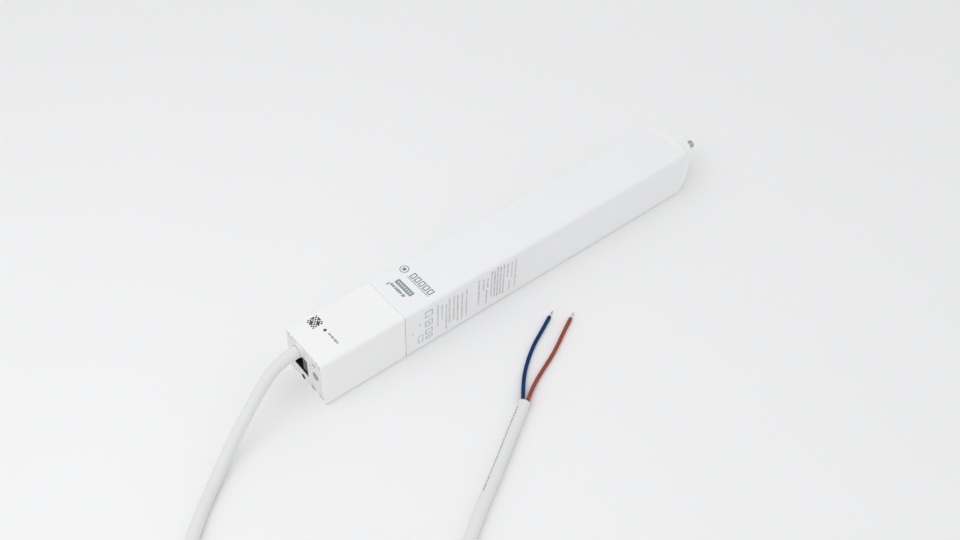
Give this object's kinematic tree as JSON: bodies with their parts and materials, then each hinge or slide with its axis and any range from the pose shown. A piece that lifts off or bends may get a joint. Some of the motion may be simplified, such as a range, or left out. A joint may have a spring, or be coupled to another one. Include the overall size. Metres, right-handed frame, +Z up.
{
  "type": "curtain track motor",
  "caption": "Slim square tubular motor that drives a curtain track, with a splined spindle at one end and a supply cord, control socket and button at the other.",
  "frame": {"origin": "on the resting surface, under the middle of the motor's length and width without its cord", "axes": "+X along the motor towards its drive spindle, +Z up, +Y to the left seen from the tail"},
  "size_m": [0.463, 0.2102, 0.0364],
  "materials": {
    "white_housing": "fine satin powder coat",
    "white_plastic": "fine moulded satin",
    "white_cord": "soft satin sheath",
    "black_plastic": "smooth",
    "grey_button": "satin",
    "clear_lens": "smoked",
    "steel": "machined",
    "grey_spindle": "dull sintered",
    "brass": "bright",
    "copper": "tinned strands",
    "blue_insulation": "smooth sheath",
    "brown_insulation": "smooth sheath",
    "green_board": "lacquered",
    "ferrite": "sintered",
    "winding": "enamelled wire",
    "dark_rubber": "soft",
    "gear_plastic": "moulded acetal",
    "sintered_gear": "sintered",
    "component_yellow": "smooth"
  },
  "bodies": {
    "housing": {"bare_wire_tips": "copper", "blue_wire": "blue_insulation", "brown_wire": "brown_insulation", "carbon_brushes": "ferrite", "control_socket": "black_plastic", "cord_clamp": "white_plastic", "cord_gland": "white_plastic", "drive_end_cap": "white_plastic", "drive_end_screws": "steel", "driver_heat_sink": "steel", "end_plate": "white_plastic", "end_plate_screw": "steel", "field_magnets": "ferrite", "filter_capacitor": "component_yellow", "front_damping_ring": "dark_rubber", "fuse": "clear_lens", "gearbox_bush": "brass", "gearbox_cover": "gear_plastic", "hall_sensor_board": "green_board", "inner_cord": "white_cord", "inner_wires": "blue_insulation", "key_board": "green_board", "main_board": "green_board", "main_housing": "white_housing", "motor_can": "steel", "motor_end_bell": "black_plastic", "output_bush": "brass", "push_switch": "black_plastic", "radio_module": "steel", "rear_damping_ring": "dark_rubber", "reservoir_capacitor": "black_plastic", "ring_gear": "gear_plastic", "socket_contacts": "brass", "status_lamp": "clear_lens", "status_lens": "clear_lens", "supply_cord": "white_cord", "supply_cord_coil": "white_cord", "supply_cord_end": "white_cord", "tail_housing": "white_plastic", "tail_screws": "steel", "terminal_block": "green_board", "transformer_core": "ferrite", "transformer_winding": "component_yellow"},
    "armature": {"armature_shaft": "steel", "armature_core": "steel", "armature_windings": "winding", "commutator": "copper", "sun_gear": "brass"},
    "first_carrier": {"first_carrier": "gear_plastic"},
    "second_carrier": {"second_carrier": "sintered_gear", "output_shaft": "steel", "encoder_magnet": "ferrite", "output_coupling": "grey_spindle"},
    "program_button": {"program_button": "grey_button"},
    "first_planet_1": {"first_planet_1": "gear_plastic"},
    "first_planet_2": {"first_planet_2": "gear_plastic"},
    "first_planet_3": {"first_planet_3": "gear_plastic"},
    "second_planet_1": {"second_planet_1": "sintered_gear"},
    "second_planet_2": {"second_planet_2": "sintered_gear"},
    "second_planet_3": {"second_planet_3": "sintered_gear"}
  },
  "joints": [
    {"name": "armature_spin", "type": "hinge", "parent": "housing", "child": "armature", "pos_m": [0, 0, 0.0182], "axis": [1, 0, 0], "continuous": true},
    {"name": "first_carrier_spin", "type": "hinge", "parent": "housing", "child": "first_carrier", "pos_m": [0, 0, 0.0182], "axis": [1, 0, 0], "continuous": true},
    {"name": "output_spin", "type": "hinge", "parent": "housing", "child": "second_carrier", "pos_m": [0, 0, 0.0182], "axis": [1, 0, 0], "continuous": true},
    {"name": "first_planet_1_spin", "type": "hinge", "parent": "first_carrier", "child": "first_planet_1", "pos_m": [0, 0.00743, 0.0182], "axis": [1, 0, 0], "continuous": true},
    {"name": "first_planet_2_spin", "type": "hinge", "parent": "first_carrier", "child": "first_planet_2", "pos_m": [0, -0.00371, 0.02463], "axis": [1, 0, 0], "continuous": true},
    {"name": "first_planet_3_spin", "type": "hinge", "parent": "first_carrier", "child": "first_planet_3", "pos_m": [0, -0.00371, 0.01177], "axis": [1, 0, 0], "continuous": true},
    {"name": "second_planet_1_spin", "type": "hinge", "parent": "second_carrier", "child": "second_planet_1", "pos_m": [0, 0.00743, 0.0182], "axis": [1, 0, 0], "continuous": true},
    {"name": "second_planet_2_spin", "type": "hinge", "parent": "second_carrier", "child": "second_planet_2", "pos_m": [0, -0.00371, 0.02463], "axis": [1, 0, 0], "continuous": true},
    {"name": "second_planet_3_spin", "type": "hinge", "parent": "second_carrier", "child": "second_planet_3", "pos_m": [0, -0.00371, 0.01177], "axis": [1, 0, 0], "continuous": true},
    {"name": "program_button_press", "type": "slide", "parent": "housing", "child": "program_button", "axis": [1, 0, 0], "range_m": [0, 0.0008], "stiffness_N_per_m": 300, "springref_m": -0.0008}
  ],
  "couplings": [
    {"joint": "first_carrier_spin", "follows": "armature_spin", "ratio": 0.22222},
    {"joint": "output_spin", "follows": "armature_spin", "ratio": 0.049383},
    {"joint": "first_planet_1_spin", "follows": "armature_spin", "ratio": -0.62222},
    {"joint": "first_planet_2_spin", "follows": "armature_spin", "ratio": -0.62222},
    {"joint": "first_planet_3_spin", "follows": "armature_spin", "ratio": -0.62222},
    {"joint": "second_planet_1_spin", "follows": "armature_spin", "ratio": -0.13827},
    {"joint": "second_planet_2_spin", "follows": "armature_spin", "ratio": -0.13827},
    {"joint": "second_planet_3_spin", "follows": "armature_spin", "ratio": -0.13827}
  ]
}
